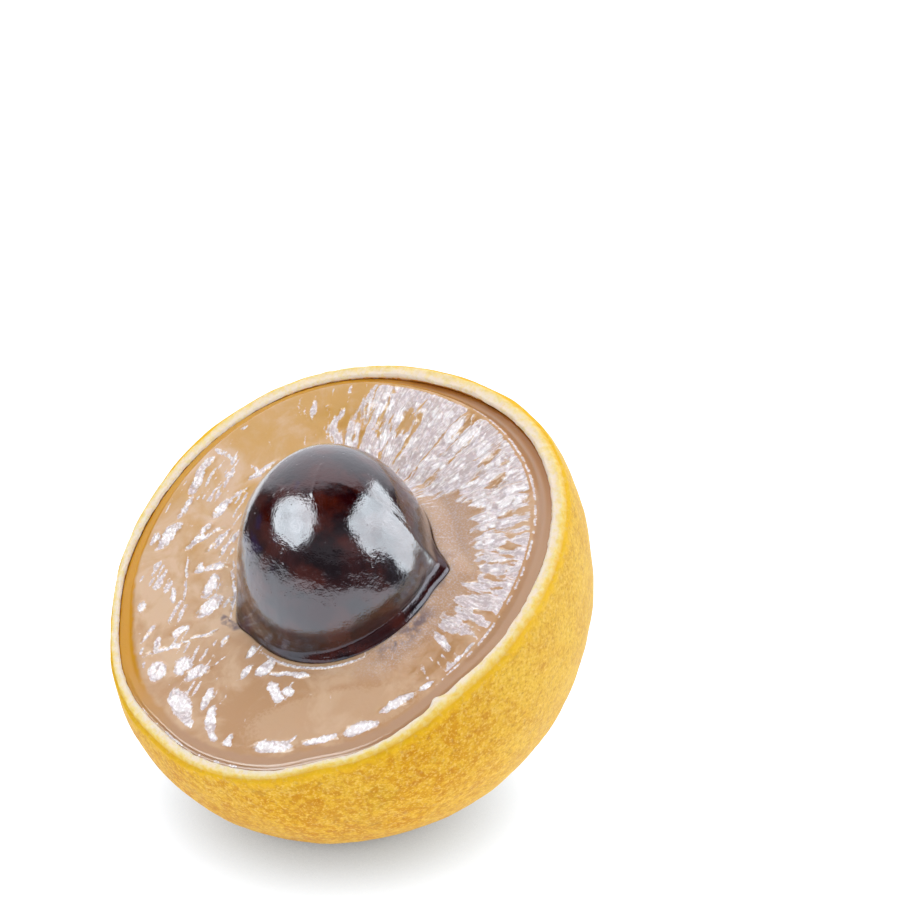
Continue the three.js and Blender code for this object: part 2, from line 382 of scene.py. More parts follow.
def buildRind(look):
    # skin from the stem end up to the bevel
    top = angleAt(0, fruit["cutHeight"] - look["bevel"])
    angle, bearing = grid(np.linspace(0.012, top, look["skinRings"]), look["spokes"])
    skin = bodyPoint(angle, bearing, 0, "outer")
    u, v, w = skin[..., 0], skin[..., 1], skin[..., 2]
    height, size = look["pores"]
    relief = height * cloud(u, v, w, size, 11, 2)
    height, size = look["lumps"]
    relief = relief + height * cloud(u, v, w, size, 17, 2)
    relief = relief * smooth(0.0, 0.12, angle)
    skin = skin + normals(skin) * relief[..., None]
    skin = settle(skin, 0)
    scar = look["scar"]
    radius = fruit["girth"] * np.sin(angle)
    skin[..., 2] += scar["dimple"] * bell(radius / scar["hollow"])
    skin[..., 2] -= scar["collar"] * bell((radius - scar["radius"]) / scar["width"])

    # cut edge, from the bevel over the crest to the inner corner
    share, bearing = grid(np.linspace(0.03, 0.97, look["edgeRings"]), look["spokes"])
    outer = bodyPoint(angleAt(0, fruit["cutHeight"]), bearing, 0, "outer")
    inner = bodyPoint(
        angleAt(fruit["rindThickness"], fruit["cutHeight"]), bearing,
        fruit["rindThickness"], "inner",
    )
    where, size, width = look["tooth"]
    tooth = bell(turnOff(bearing, where) / width)
    sway = 0 * bearing
    for often, far, draw in look["edgeSway"]:
        x, y = often * np.cos(bearing), often * np.sin(bearing)
        sway = sway + far * cloud(x, y, 0 * bearing, 1.0, draw)
    across = share + sway * smooth(0.1, 1, share) + size * tooth * smooth(0.5, 1, share)
    edge = outer + (inner - outer) * across[..., None]
    drop = look["bevel"] * (1 - smooth(0, 0.32, share)) ** 1.5
    drop = drop + look["innerDrop"] * smooth(0.72, 1, share) ** 2
    u, v = edge[..., 0], edge[..., 1]
    rough = look["edgeRough"] * cloud(u, v, 0 * u, 0.45, 29, 3)
    wave = sum(size * np.cos(lobes * bearing + turn) for lobes, size, turn in look["edgeWaves"])
    edge[..., 2] += -drop + rough + wave * smooth(0, 0.2, share) + look["toothRise"] * tooth

    # wall inside, down to the pole
    start = angleAt(fruit["rindThickness"], fruit["cutHeight"] - 0.2)
    angle, bearing = grid(np.linspace(start, 0.05, look["wallRings"]), look["spokes"])
    wall = bodyPoint(angle, bearing, fruit["rindThickness"], "inner")
    wall = settle(wall, fruit["rindThickness"])

    points = np.vstack([skin, edge, wall])
    counts = (len(skin), len(edge), len(wall))
    across = np.concatenate([np.zeros(counts[0]), share[:, 0], np.ones(counts[2])])
    inside = np.concatenate([np.zeros(counts[0] + counts[1]), np.ones(counts[2])])
    below = np.maximum(fruit["cutHeight"] - points[..., 2], 0)
    pole = np.array([0, 0, -fruit["poleDepth"] + scar["dimple"]])
    innerPole = np.array([0, 0, -fruit["poleDepth"] + fruit["rindThickness"]])
    values = {"across": across[:, None], "inside": inside[:, None], "below": below}
    return closedPiece("rindSkin", points, pole, innerPole, values)


def rindMaterial(look):
    n = Nodes("rindFinish")
    patch = n.noise(4.5, 3.0, 0.6)
    mottle = n.noise(1.1, 3.0, 0.5)
    grain = n.noise(0.15, 2.0, 0.6)
    pore = n.noise(0.26, 1.0, 0.5)
    height = n.add("SeparateXYZ", Vector=n.place).outputs["Z"]
    low = n.math("ADD", n.range(height, 11 * mm, 1 * mm), n.range(patch, 0.35, 0.65, -0.45, 0.45))
    blotch = n.noise(0.45, 2.0, 0.5)
    skin = n.mix(n.range(mottle, 0.32, 0.6, 0.1, 1.0), look["ochre"], look["yellow"])
    skin = n.mix(n.range(low, 0.3, 1.2, 0, 0.65), skin, look["brown"])
    skin = n.mix(n.range(n.noise(2.6, 3.0), 0.56, 0.7, 0, 0.45), skin, look["olive"])
    # painted light: the skin is painted paler and straw-tinted towards +X and +Y, as if more light
    # fell on that side
    litSide = n.add("VectorMath", {"operation": "DOT_PRODUCT"}, n0=n.place, n1=(0.76, 0.65, 0))
    pale = n.math("ADD", n.range(patch, 0.36, 0.64, -0.3, 0.3),
                  n.range(litSide.outputs["Value"], 2 * mm, 12 * mm, 0.1, 0.65), True)
    skin = n.mix(pale, skin, look["bright"])
    skin = n.mix(n.range(blotch, 0.46, 0.62, 0, 0.5), skin, look["bright"])
    skin = n.mix(n.range(blotch, 0.5, 0.36, 0, 0.45), skin, look["ochre"])
    skin = n.mix(n.range(litSide.outputs["Value"], 4 * mm, 13 * mm, 0, 0.3), skin, look["litSideStraw"])
    skin = n.mix(n.range(grain, 0.5, 0.7, 0, 0.6), skin, look["fleck"])
    skin = n.mix(n.range(grain, 0.48, 0.3, 0, 0.45), skin, look["brown"])
    skin = n.mix(n.range(pore, 0.35, 0.24, 0, 0.35), skin, look["speck"])
    skin = n.mix(n.range(n.noise(1.1, 3.0, 0.6), 0.6, 0.74, 0, 0.4), skin, look["speck"])
    ragged = n.range(n.noise(0.35, 3.0), 0.3, 0.7, -0.5, 0.5)
    below = n.math("ADD", n.attribute("below"), n.math("MULTIPLY", ragged, 0.4))
    skin = n.mix(n.range(below, 1.0, 0.2, 0, 0.75), skin, look["lemon"])
    across = n.math("ADD", n.attribute("across"), n.math("MULTIPLY", ragged, 0.25))
    skin = n.mix(n.range(n.attribute("across"), 0.0, 0.1), skin, look["edgeYellow"])
    base = n.mix(n.range(across, 0.04, 0.36), skin, look["edgePale"])
    base = n.mix(n.range(across, 0.2, 0.7), base, look["edgeCream"])
    yellowed = n.math("MULTIPLY", n.range(n.attribute("across"), 0.05, 0.2),
                      n.range(n.noise(0.3, 3.0, 0.7), 0.48, 0.62, 0, 0.6))
    base = n.mix(yellowed, base, look["edgePale"])
    base = n.mix(n.math("MULTIPLY", n.attribute("inside"), n.range(below, 0.16, 0.3)), base,
                 look["wall"])
    relief = n.math("ADD", n.math("MULTIPLY", grain, 0.6), n.math("MULTIPLY", pore, 0.6))
    n.surface(
        Base_Color=base,
        Roughness=n.range(grain, 0.3, 0.7, 0.45, 0.62),
        Normal=n.bump(relief, 0.06, 0.6),
        Subsurface_Weight=0.25,
        Subsurface_Scale=0.8 * mm,
        Subsurface_Radius=(1.0, 0.6, 0.25),
        IOR=1.4,
        Specular_IOR_Level=0.12,
    )
    return n.material


seedLook = {
    "centre": (1.02, -0.63, 1.26),  # middle of its widest girth
    "radius": 5.49,
    "apex": (0.05, 1.8, 8.23),  # from the centre to the top of the dome
    "buried": 0.52,  # the hidden end's length, as a share of the dome's
    "fullness": 2.32,  # 2 is an ellipsoid, more is squarer
    "beak": {"bearing": 20, "reach": 0.62, "slope": 0.6, "level": 3.0, "above": 1.3,
             "below": 1.6},
    "skirt": {"level": 3.2, "height": 0.42, "reach": 0.48, "start": 246, "full": 335, "end": 402},
    # slow swellings: bearing, half-width, level, height above and below it, size
    "swellings": (
        (285, 42, 5.2, 1.8, 1.5, 0.25), (8, 24, 4.4, 1.4, 1.6, 0.32), (236, 13, 3.0, 1.4, 1.4, 0.5),
    ),
    "crease": ((1.42, 2.28), (2.07, 0.62), 0.026, 0.08),  # ends, height and half-width
    # top of the dull film at its foot: its middle level, how far that tips and towards where
    "film": {"level": 4.5, "tip": 0.9, "bearing": 230, "gloss": 0.35},
    "relief": ((0.05, 3.0, 41, 2), (0.02, 0.7, 43, 3)),  # depth, size, draw, octaves
    "spokes": 420,
    "rings": 230,
    "coat": colour(50, 18, 18),
    "coatRed": colour(80, 32, 22),
    "coatDark": colour(24, 11, 15),
    "coatBlue": colour(40, 26, 66),
}


def skirtReach(bearing, height, look):
    # the seed's foot flares where the flesh grips it, wider towards the beak
    skirt = look["skirt"]
    start, full, end = skirt["start"], skirt["full"], skirt["end"]
    turn = (np.degrees(bearing) - start) % 360
    grows = 0.25 + 0.75 * smooth(0, full - start, turn)
    mask = smooth(-2, 12, turn) * (1 - smooth(end - start - 24, end - start, turn)) * grows
    down = 1 - smooth(skirt["level"], skirt["level"] + skirt["height"], height)
    return skirt["reach"] * mask * down * smooth(1.6, 2.6, height)


def seedPoint(angle, bearing, grow, look):
    # rings level with the cut, sliding along the line to the apex, on a full ellipsoid,
    # with a beak whose ridge fades up the dome between straight flanks
    power = 2 / look["fullness"]
    across = np.abs(np.sin(angle)) ** power
    along = np.abs(np.cos(angle)) ** power
    apex = np.array(look["apex"])
    end = np.where(np.cos(angle) < 0, -look["buried"], 1.0)
    reach = end * (1 + grow / np.linalg.norm(apex)) * along
    point = np.array(look["centre"]) + reach[..., None] * apex
    beak = look["beak"]
    rise = point[..., 2] - beak["level"]
    span = np.where(rise > 0, beak["above"], beak["below"])
    off = look["radius"] * np.hypot(np.radians(turnOff(bearing, beak["bearing"])), 0.02)
    stand = beak["reach"] * bell(rise / span) - beak["slope"] * off
    stand = (stand + np.hypot(stand, 0.2)) / 2
    stand = stand + skirtReach(bearing, point[..., 2], look)
    for place, halfWidth, level, above, below, size in look["swellings"]:
        rise = point[..., 2] - level
        span = np.where(rise > 0, above, below)
        stand = stand + size * bell(turnOff(bearing, place) / halfWidth) * bell(rise / span)
    radius = across * (look["radius"] + grow + stand)
    point[..., 0] += radius * np.cos(bearing)
    point[..., 1] += radius * np.sin(bearing)
    return point


def seedAngleAt(height, look):
    # angle down from the apex at which the seed's side crosses a height
    share = (height - look["centre"][2]) / look["apex"][2]
    return np.arccos(share ** (look["fullness"] / 2))


def lineOff(u, v, start, end):
    # distance from a straight line between two points
    du, dv = end[0] - start[0], end[1] - start[1]
    t = ((u - start[0]) * du + (v - start[1]) * dv) / (du * du + dv * dv)
    t = np.clip(t, 0, 1)
    return np.hypot(u - start[0] - t * du, v - start[1] - t * dv)


def buildSeed(look):
    angle, bearing = grid(np.linspace(math.pi - 0.03, 0.03, look["rings"]), look["spokes"])
    points = seedPoint(angle, bearing, 0, look)
    u, v, w = points[..., 0], points[..., 1], points[..., 2]
    relief = sum(depth * cloud(u, v, w, *rest) for depth, *rest in look["relief"])
    start, end, height, width = look["crease"]
    onTop = smooth(6, 8, w)
    relief = relief * np.sin(angle) ** 0.5
    relief = relief + height * onTop * bell(lineOff(u, v, start, end) / width)
    points = points + normals(points) * relief[..., None]
    ends = seedPoint(np.array([math.pi, 0.0]), np.zeros(2), 0, look)
    film = look["film"]
    filmTop = film["level"] + film["tip"] * np.cos(bearing - math.radians(film["bearing"]))
    values = {"turn": np.cos(bearing - math.radians(245)), "foot": smooth(0.4, -0.5, w - filmTop)}
    return closedPiece("seedCoat", points, ends[0], ends[1], values)


def seedMaterial(look):
    n = Nodes("seedFinish")
    patch = n.noise(3.0, 4.0, 0.6)
    fine = n.noise(0.3, 3.0, 0.6)
    grain = n.noise(0.11, 2.0, 0.6)
    base = n.mix(n.range(patch, 0.42, 0.6), look["coatDark"], look["coat"])
    base = n.mix(n.range(n.noise(1.8, 4.0), 0.46, 0.64, 0, 0.65), base, look["coatRed"])
    blue = n.math("MULTIPLY", n.range(n.attribute("turn"), 0.8, 1.0),
                  n.range(n.noise(1.0, 2.0), 0.52, 0.68, 0, 0.6))
    base = n.mix(blue, base, look["coatBlue"])
    pits = n.range(n.noise(0.3, 1.0, 0.5), 0.72, 0.8)
    height = n.math("SUBTRACT", n.math("ADD", fine, n.math("MULTIPLY", grain, 0.6)), pits)
    normal = n.bump(height, 0.023, 0.5)
    foot = n.math("ADD", n.attribute("foot"), n.range(patch, 0.35, 0.65, -0.2, 0.2))
    n.surface(
        Base_Color=base,
        Roughness=n.range(fine, 0.35, 0.65, 0.12, 0.2),
        Normal=normal,
        IOR=1.45,
        Specular_Tint=(0.66, 0.64, 0.8, 1.0),
        Coat_Weight=n.range(foot, 0.1, 0.9, 1.0, look["film"]["gloss"]),
        Coat_Normal=normal,
        Coat_Roughness=0.05,
        Coat_IOR=1.9,
    )
    return n.material


fleshLook = {
    "gap": 0.008,  # left between its skin and the rind, and the seed
    "level": -0.06,  # of its face, against the rim
    "fan": (1.03, -0.2),  # where the seed stands in the face
    # width of the smooth band beside the rind, by bearing
    "bandWidth": ((20, 0.62), (57, 0.6), (90, 0.4), (115, 0.22), (135, 0.24), (155, 0.34),
                  (180, 0.42), (205, 0.55), (228, 0.7), (260, 0.55), (305, 0.55), (345, 0.6)),
    "bandDepth": 0.14,
    "spokes": 900,
    "outsideRings": 7,
    "bandRings": 20,
    "faceRings": 74,
    "pitRings": 6,
    "lean": 0.22,  # rise of a tilted patch across the face
    "swell": (0.07, 3.0),  # height and size of the face's slow swells
    "dip": (0.5, 11.6, 5),  # how deep the fan sinks towards the seed, from where, over how far
    # tilted patches left by the knife, each painted with a highlight, in groups: both ends in the
    # view, half-width in mm
    "strokes": {
        "chain": (
            (143, 545.5, 158.5, 534.5, 0.24), (158.5, 547, 179, 524, 0.32),
            (179, 515, 191.5, 499, 0.15), (191.5, 493.5, 205.5, 463, 0.26),
            (202, 467, 214, 458, 0.2),
        ),
        "besideChain": (
            (188, 547, 209.5, 525.5, 0.17), (195, 542, 220, 529.5, 0.1),
            (207.5, 550.5, 222, 536.5, 0.1), (216.5, 547, 230, 531, 0.09),
            (220, 556, 236, 534.5, 0.09), (213, 517, 227, 500.5, 0.24),
            (234.5, 495.5, 247.5, 487.5, 0.09), (248.5, 479.5, 273.5, 463, 0.16),
            (252, 467, 261, 475.5, 0.09),
        ),
        "folds": (
            (187.5, 561.5, 184.5, 599, 0.07), (173.5, 589, 173.5, 602, 0.13),
            (196, 571.5, 223.5, 565, 0.16), (204, 595.5, 216.5, 575.5, 0.28),
            (198.5, 616, 220, 599, 0.34), (198.5, 566, 200, 572, 0.16),
            (234.5, 564, 232.5, 612, 0.08),
        ),
        "nearRind": (
            (143, 604, 135, 613, 0.28), (141, 570, 134, 581, 0.12), (130, 589, 134, 597, 0.1),
            (217, 448, 231, 458, 0.12), (238, 456, 232, 463, 0.16), (247, 425, 241, 429, 0.14),
            (284, 403, 272, 407, 0.12),
        ),
        "flap": (
            (154, 627, 141, 642, 0.1), (190, 641, 152, 653, 0.08), (214, 631.5, 188.5, 639.5, 0.08),
            (187, 627, 173, 635, 0.18), (229, 637, 222, 645, 0.15),
        ),
        "belowBeak": ((443, 626, 451, 619, 0.4), (453, 604, 470, 612, 0.2)),
    },
    # wet blots and dashes with broader faces and painted highlights, the same way
    "blots": {
        "lowerLeft": (
            (160, 638, 155, 651, 0.25), (164, 665, 152, 677, 0.4), (186, 658, 180, 672, 0.35),
            (208, 666, 188, 677, 0.22), (176, 692, 184, 718, 0.5), (184, 716, 182, 732, 0.45),
            (209, 690, 203, 706, 0.18), (213, 709, 208, 730, 0.25), (208, 728, 214, 742, 0.18),
            (231, 734, 220, 750, 0.18),
        ),
        "underSeed": (
            (248.5, 657, 255, 645.5, 0.2), (259, 671.5, 272, 663.5, 0.32),
            (241, 677, 252, 667, 0.16), (272, 684, 280, 698, 0.28), (287, 690, 292, 696, 0.2),
            (274.5, 673.5, 306, 673.5, 0.13),
        ),
        "besideRind": (
            (255.5, 748, 290.5, 748, 0.38), (288, 742, 296.5, 736.5, 0.1),
            (307, 741, 335, 738, 0.16), (348.5, 733.5, 374.5, 726.5, 0.36),
            (381.5, 712, 411.5, 696, 0.2), (420, 690, 434, 681, 0.15),
            (450, 669, 472, 646, 0.18),
        ),
    },
    # paler films, the right one a painted reflection of the dim backdrop in the wet face, and stains
    # of the seed's coat, the same way
    "filmsAndReflection": {
        "right": ((263, 728, 399, 701, 1.1),),
        "flap": ((145.5, 662.5, 230.5, 623, 0.75),),
        "beak": ((440, 555.5, 454, 575, 0.2),),
    },
    "stains": {"flap": ((222.5, 617, 235.5, 628.5, 0.2),)},
    "rings": ((10, 28, 6.1, 0.45), (-32, -2, 6.4, 0.45)),  # stains round it: arc, radius, width
    "honey": colour(206, 156, 80),
    "blush": colour(190, 144, 100),
    "milky": colour(218, 182, 148),
    # painted highlight: whitish tones painted where the wet face shines, over its fibrous relief
    "paintedHighlight": colour(206, 190, 190),
    "paintedHighlightLine": colour(248, 238, 238),
    "band": colour(212, 148, 24),
    "bandBlush": colour(186, 144, 110),
    # painted shade: dark ochre for the shaded strip by the rind on the far side
    "shadedWallWedge": colour(176, 118, 58),
    "matte": colour(196, 158, 130),
    "stain": colour(104, 88, 98),
}


def plates(x, y, tipX, tipY, share, seed):
    # ragged cells on the coordinates x and y; a share of them tips by tipX and tipY per unit
    # and falls back at its border. Returns the height and how much a place belongs to one.
    best, second = np.full(x.shape, 9.0), np.full(x.shape, 9.0)
    height, chosen = np.zeros(x.shape), np.zeros(x.shape)
    for i in (-1, 0, 1):
        for j in (-1, 0, 1):
            column, row = np.floor(x).astype(int) + i, np.floor(y).astype(int) + j
            offX = x - column - 0.5 - 0.42 * latticeValue(column, row, 0 * row, seed)
            offY = y - row - 0.5 - 0.42 * latticeValue(column, row, 1 + 0 * row, seed)
            distance = np.hypot(offX, offY)
            closer = distance < best
            second = np.where(closer, best, np.minimum(second, distance))
            best = np.where(closer, distance, best)
            luck = 0.5 + 0.5 * latticeValue(column, row, 2 + 0 * row, seed)
            steep = 1 + 0.5 * latticeValue(column, row, 3 + 0 * row, seed)
            picked = luck < share
            height = np.where(closer, picked * steep * (offX * tipX + offY * tipY), height)
            chosen = np.where(closer, picked, chosen)
    border = smooth(0.0, 0.3, second - best)
    return height * border, chosen * border


def allMarks(groups):
    return [mark for group in groups.values() for mark in group]


def patchAt(u, v, mark, look):
    # 1 inside an oval patch with a soft, ragged border, and distance from its middle along v
    level = fruit["cutHeight"] + look["level"]
    startX, startY, endX, endY, halfWidth = mark
    start, end = onFace(startX, startY, level, viewLook), onFace(endX, endY, level, viewLook)
    middle, half = (start + end) / 2, (end - start) / 2
    halfLength = math.hypot(*half)
    headU, headV = half / halfLength
    offU, offV = u - middle[0], v - middle[1]
    along = offU * headU + offV * headV
    across = offV * headU - offU * headV
    out = np.sqrt((along / halfLength) ** 2 + (across / halfWidth) ** 2)
    return 1 - smooth(0.9, 1.6, out), offV


def fleshRelief(u, v, look):
    # tilted plates that fan out from the seed on one side, strokes and blots on the other,
    # slow swells and fine ripples; all lean the same way, as the knife left them
    du, dv = u - look["fan"][0], v - look["fan"][1]
    bearing, radius = np.arctan2(dv, du), np.hypot(du, dv)
    warpA = 0.5 * cloud(u, v, 0 * u, 0.9, 81, 2) + 0.2 * cloud(u, v, 0 * u, 0.3, 85, 2)
    warpB = 0.5 * cloud(u, v, 0 * u, 0.9, 91, 2) + 0.2 * cloud(u, v, 0 * u, 0.3, 95, 2)
    drift = 0.35 * cloud(u, v, 0 * u, 2.5, 77, 3) + 0.12 * warpA
    dense = arc(bearing + drift, -14, 130, 44)
    nearSeed = smooth(8.3, 6.7, radius + warpA) * arc(bearing, -38, 72, 30)
    covered = dense * (1 - nearSeed)

    # plates: long across the fan where it runs along the lean, wide where it runs across it
    turnMm = 9.0
    fan = bearing * turnMm + 0.15 * (radius - 9) + 0.22 * warpA
    wide, long, slope = 0.75, 2.3, 0.6 * look["lean"]
    tipX = slope * wide * np.cos(bearing) * radius / turnMm
    tipY = slope * long * np.sin(bearing)
    plate, share = plates(fan / wide, radius / long + 0.5 * warpB, tipX, tipY, 0.92, 101)
    # painted highlight: a fibrous whitish cover painted over the tilted plates where the wet face
    # catches the lamps
    flute = cloud(fan / 0.42, radius / 1.9 + 0.3 * warpA, 0 * u, 1.0, 103, 3)
    above = 0.2 * arc(bearing, 55, 125, 30)
    cover = 0.8 + above + 1.5 * flute + 0.3 * (share - 0.7) - 1.5 * (1 - covered)
    paintedHighlight = np.clip(cover, 0, 1)
    relief = covered * (plate * smooth(0.15, 0.5, paintedHighlight) + 0.04 * flute)

    # strokes and blots, tilted and painted with highlights
    streak = cloud(u, v, 0 * u, 0.2, 107, 2)
    for key, split, fold in (("strokes", 0.8, 0.24), ("blots", 0.35, 0.42)):
        for mark in allMarks(look[key]):
            patch, offV = patchAt(u + fold * warpA, v + fold * warpB, mark, look)
            relief = relief + look["lean"] * np.clip(offV, -0.5, 0.5) * patch
            paintedHighlight = np.maximum(paintedHighlight, patch * np.clip(0.8 + split * streak, 0, 1))

    # fine scattered strokes at the left, leaning the way the knife went, painted whitish as highlights
    heading = math.radians(96)
    along = u * math.cos(heading) + v * math.sin(heading)
    across = u * math.sin(heading) - v * math.cos(heading)
    fine = cloud(across / 0.18, along / 1.0, 0 * u, 1.0, 121, 2)
    where = smooth(-0.1, 0.25, cloud(u, v, 0 * u, 1.5, 131, 2)) * arc(bearing, 160, 262, 16)
    paintedHighlight = np.maximum(paintedHighlight, where * smooth(0.15, 0.5, fine))
    relief = relief + 0.03 * where * fine

    height, size = look["swell"]
    swell = height * cloud(u, v, 0 * u, size, 51, 2)
    depth, begins, span = look["dip"]
    swell = swell - depth * dense * np.clip((begins - radius) / span, 0, 1)
    rough = np.clip(0.3 + covered + 0.5 * nearSeed + arc(bearing, 160, 292, 16), 0, 1)
    relief = relief + 0.008 * rough * cloud(u, v, 0 * u, 0.4, 71, 2)
    ragged = 0.35 * warpA + 0.35 * warpB
    # film patches: paler, the right one a painted reflection
    film, spot = (
        np.max([patchAt(u + ragged, v + ragged, mark, look)[0]
                for mark in allMarks(look[key])], axis=0)
        for key in ("filmsAndReflection", "stains")
    )
    marks = {"paintedHighlight": np.clip(paintedHighlight, 0, 1), "nearSeed": nearSeed, "dense": dense,
             "film": film, "stain": spot, "fan": fan, "out": radius}
    return relief, swell, marks


def buildFlesh(look, seed):
    inset = fruit["rindThickness"] + look["gap"]
    top = fruit["cutHeight"] + look["level"]
    spokes = look["spokes"]

    # band beside the rind: level at its foot, with a rounded, fluted climb to the face; step
    # runs from 0 at the rind to 1.5 where the face starts
    step, bearing = grid(np.linspace(0, 1.5, look["bandRings"]) ** 1.15 / 1.5**0.15, spokes)
    widths = np.array(look["bandWidth"])
    width = np.interp(np.degrees(bearing), widths[:, 0], widths[:, 1], period=360)
    wall = bodyPoint(angleAt(fruit["rindThickness"], fruit["cutHeight"]), bearing, inset, "inner")
    radius = np.hypot(wall[..., 0], wall[..., 1]) - step * width
    upper, front = arc(bearing, 35, 105, 40), arc(bearing, 242, 350, 24)
    depth = look["bandDepth"] * (1 - front) + 0.25 * upper
    furrow = cloud(26 * np.cos(bearing), 26 * np.sin(bearing), 0.4 * step, 1.0, 161, 2)
    height = top - depth * (1 - smooth(0.75, 1.5, step))
    height = height - 0.1 * front * smooth(0.4, 0.0, step)
    height = height + 0.02 * furrow * smooth(0.7, 1.3, step) * arc(bearing, 280, 440, 20)
    band = np.stack([radius * np.cos(bearing), radius * np.sin(bearing), height], -1)
    inBand = 1 - smooth(1.0, 1.5, step + 0.2 * furrow)
    # painted shade: on the far side the band is painted dark ochre next to the rind, where the rim
    # shades it
    shadedWallWedge = upper * smooth(0.75, 0.35, step)
    share, bearing = grid(np.linspace(0, 1, look["outsideRings"]), spokes)
    foot = np.arccos((0.04 - height[:1]) / (fruit["poleDepth"] - inset))
    outside = bodyPoint(0.05 + (foot - 0.05) * share, bearing, inset, "inner")
    outside = settle(outside, inset)
    around = bearing[:1]
    # painted highlight: a thin bright line along the crest of the band on the far side, and painted
    # glints where the flesh meets the rind at the front
    crest = bell((step - 1.35) / 0.12) * arc(around, -20, 80, 20) * smooth(-0.3, 0.1, furrow)
    paintedGlint = bell((step - 0.05) / 0.1) * arc(around, 252, 300, 16) * smooth(0.1, 0.35, furrow)

    # face, from the band to the lip at the seed
    share, bearing = grid(np.linspace(0, 1, look["faceRings"] + 1)[1:], spokes)
    lip = seedPoint(seedAngleAt(top, seed) + 0 * bearing, bearing, look["gap"], seed)
    face = band[-1][None] + (lip - band[-1][None]) * share[..., None]
    reach = np.hypot(face[..., 0] - lip[..., 0], face[..., 1] - lip[..., 1])
    relief, swell, marks = fleshRelief(face[..., 0], face[..., 1], look)
    relief = relief * smooth(0, 0.05, share) * smooth(0, 0.4, reach)
    relief = relief + swell * smooth(0, 0.35, share) * smooth(0, 1.2, reach)
    meniscus = arc(bearing, 262, 322, 20) * bell((reach - 0.28) / 0.08)
    face[..., 2] = band[-1][None, :, 2] + (top - band[-1][None, :, 2]) * smooth(0, 0.1, share)
    face[..., 2] += relief + 0.03 * meniscus

    bottom = seedAngleAt(top - 0.4, seed)
    angle, bearing = grid(np.linspace(bottom, math.pi - 0.1, look["pitRings"]), spokes)
    pit = seedPoint(angle, bearing, look["gap"], seed)
    points = np.vstack([outside, band, face, pit])
    blank = np.zeros((len(outside), spokes)), np.zeros(step.shape), np.zeros((len(pit), spokes))
    # painted highlight: a white line painted on the meniscus beside the seed
    marks["paintedHighlight"] = np.maximum(marks["paintedHighlight"] * smooth(0.0, 0.04, share), 0.8 * meniscus)
    # painted highlight and glints on the band
    bandMarks = {"paintedHighlight": np.maximum(0.75 * crest, paintedGlint)}
    values = {}
    for label, mark in marks.items():
        values[label] = np.vstack([blank[0], bandMarks.get(label, blank[1]), mark, blank[2]])
    for label, mark in (("band", inBand), ("shadedWallWedge", shadedWallWedge)):
        values[label] = np.vstack([blank[0] + 1, mark, 0 * share, blank[2]])
    u, v = points[..., 0] - look["fan"][0], points[..., 1] - look["fan"][1]
    around = np.arctan2(v, u)
    values["honey"] = arc(around, 88, 200, 80)
    values["pale"] = arc(around, 150, 250, 50)
    values["golden"] = arc(around, 95, 244, 40)
    for start, end, reach, width in look["rings"]:
        ring = bell((np.hypot(u, v) - reach) / width) * arc(around, start, end, 12)
        values["stain"] = np.maximum(values["stain"], ring)
    start = bodyPoint(np.zeros(1), np.zeros(1), inset, "inner")[0]
    end = seedPoint(np.array([math.pi]), np.zeros(1), look["gap"], seed)[0]
    return closedPiece("fleshFace", points, start, end, values)


